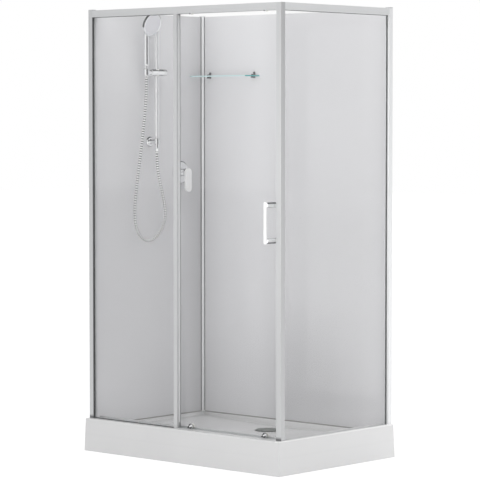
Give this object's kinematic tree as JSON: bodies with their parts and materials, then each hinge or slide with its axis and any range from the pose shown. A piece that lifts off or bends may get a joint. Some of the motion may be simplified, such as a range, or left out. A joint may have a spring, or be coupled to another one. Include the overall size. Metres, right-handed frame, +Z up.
{
  "type": "shower cabin",
  "caption": "Rectangular shower cabin: raised tray, framed clear glass, sliding front door with bar handle, two wall panels, hand shower on a riser, lever mixer and glass shelf.",
  "frame": {"origin": "middle of the tray's base, on the floor under the middle foot", "axes": "+X to the right along the door's front, +Y towards the back wall, +Z up"},
  "size_m": [1.236, 0.804, 2.038],
  "materials": {
    "tray_acrylic": "glossy white moulded acrylic",
    "wall_sheet": "glossy pale sheet",
    "profile_silver": "bright anodised",
    "clear_glass": "clear toughened glass",
    "shelf_clear_glass": "clear glass with cyan edges",
    "gasket_grey": "matt dark grey",
    "clear_strip": "translucent strip",
    "chrome": "polished chrome",
    "handle_bright": "polished, near white",
    "lever_satin": "satin",
    "waste_grey": "dark grey moulded",
    "pipe_white": "white moulded waste fittings",
    "nylon": "natural nylon",
    "face_pale": "pale spray face",
    "galvanised": "galvanised steel tube",
    "foot_black": "black moulded foot",
    "screw_steel": "bright zinc",
    "brass": "machined"
  },
  "bodies": {
    "cabin": {"tray_shell": "tray_acrylic", "left_wall_panel": "wall_sheet", "back_wall_panel": "wall_sheet", "left_front_post": "profile_silver", "front_corner_post": "profile_silver", "back_right_post": "profile_silver", "post_end_caps": "profile_silver", "back_left_corner_profile": "profile_silver", "top_front_rail": "profile_silver", "top_side_rail": "profile_silver", "door_bottom_track": "profile_silver", "fixed_end_profile": "profile_silver", "fixed_glass": "clear_glass", "side_glass": "clear_glass", "shelf_glass": "shelf_clear_glass", "fixed_glass_gasket": "gasket_grey", "side_glass_gasket": "gasket_grey", "wall_panel_gaskets": "gasket_grey", "drain_gasket": "gasket_grey", "overlap_seal": "clear_strip", "riser_rail": "chrome", "riser_bracket": "chrome", "outlet_elbow": "chrome", "outlet_hose_nut": "chrome", "shower_hose": "chrome", "mixer_rosette": "chrome", "shelf_holders": "chrome", "drain_flange": "pipe_white", "drain_trap": "pipe_white", "hair_strainer": "pipe_white", "mixer_cartridge": "nylon", "support_frame": "galvanised", "foot_pads": "foot_black", "foot_studs": "screw_steel", "rail_screws": "screw_steel", "mixer_valve": "brass", "mixer_pipe": "brass", "outlet_back_nut": "brass"},
    "door": {"door_glass": "clear_glass", "door_edge_profile": "profile_silver", "door_magnet_strip": "clear_strip", "roller_axles": "screw_steel", "roller_caps": "chrome", "handle_posts": "chrome", "handle_screws": "chrome", "handle_bar": "handle_bright"},
    "bottom_left_wheel": {"bottom_left_roller": "nylon"},
    "bottom_right_wheel": {"bottom_right_roller": "nylon"},
    "top_left_wheel": {"top_left_roller": "nylon"},
    "top_right_wheel": {"top_right_roller": "nylon"},
    "slider": {"slider_sleeve": "nylon"},
    "slider_head": {"slider_body": "chrome"},
    "clamp_knob": {"slider_knob": "chrome"},
    "holder": {"handset_holder": "chrome"},
    "handset": {"handset_body": "chrome", "handset_spray_face": "face_pale", "handset_hose_nut": "chrome"},
    "mixer_turn": {"mixer_collar": "lever_satin"},
    "lever": {"mixer_lever": "lever_satin"},
    "drain_lid": {"drain_cover": "waste_grey"}
  },
  "joints": [
    {"name": "door_slide", "type": "slide", "parent": "cabin", "child": "door", "axis": [-1, 0, 0], "range_m": [0, 0.49]},
    {"name": "bottom_left_wheel_roll", "type": "hinge", "parent": "door", "child": "bottom_left_wheel", "pos_m": [0.024, -0.3295, 0.1625], "axis": [0, -1, 0], "range_deg": [0, 2553]},
    {"name": "bottom_right_wheel_roll", "type": "hinge", "parent": "door", "child": "bottom_right_wheel", "pos_m": [0.466, -0.3295, 0.1625], "axis": [0, -1, 0], "range_deg": [0, 2553]},
    {"name": "top_left_wheel_roll", "type": "hinge", "parent": "door", "child": "top_left_wheel", "pos_m": [0.024, -0.3295, 2.009], "axis": [0, 1, 0], "range_deg": [0, 2553]},
    {"name": "top_right_wheel_roll", "type": "hinge", "parent": "door", "child": "top_right_wheel", "pos_m": [0.466, -0.3295, 2.009], "axis": [0, 1, 0], "range_deg": [0, 2553]},
    {"name": "slider_slide", "type": "slide", "parent": "cabin", "child": "slider", "axis": [0, 0, 1], "range_m": [-0.28, 0.185], "deforming": ["shower_hose"]},
    {"name": "slider_swivel", "type": "hinge", "parent": "slider", "child": "slider_head", "pos_m": [-0.54, 0.024, 1.75396], "axis": [0, 0, 1], "range_deg": [-20, 30], "deforming": ["shower_hose"]},
    {"name": "clamp_knob_turn", "type": "hinge", "parent": "slider_head", "child": "clamp_knob", "pos_m": [-0.54, 0.024, 1.75396], "axis": [0, 1, 0], "range_deg": [0, 180]},
    {"name": "holder_tilt", "type": "hinge", "parent": "slider_head", "child": "holder", "pos_m": [-0.54, 0.024, 1.75396], "axis": [0, 1, 0], "range_deg": [0, 30], "deforming": ["shower_hose"]},
    {"name": "handset_lift", "type": "slide", "parent": "holder", "child": "handset", "axis": [0, 0, 1], "range_m": [0, 0.045], "deforming": ["shower_hose"]},
    {"name": "mixer_temperature", "type": "hinge", "parent": "cabin", "child": "mixer_turn", "pos_m": [-0.5427, 0.234, 1.28], "axis": [1, 0, 0], "range_deg": [-50, 50]},
    {"name": "mixer_flow", "type": "hinge", "parent": "mixer_turn", "child": "lever", "pos_m": [-0.54255, 0.234, 1.297], "axis": [0, -1, 0], "range_deg": [0, 25]},
    {"name": "drain_cover_lift", "type": "slide", "parent": "cabin", "child": "drain_lid", "axis": [0, 0, 1], "range_m": [0, 0.05]}
  ],
  "couplings": [
    {"joint": "bottom_left_wheel_roll", "follows": "door_slide", "rad_per_m": 90.909},
    {"joint": "bottom_right_wheel_roll", "follows": "door_slide", "rad_per_m": 90.909},
    {"joint": "top_left_wheel_roll", "follows": "door_slide", "rad_per_m": 90.909},
    {"joint": "top_right_wheel_roll", "follows": "door_slide", "rad_per_m": 90.909}
  ]
}
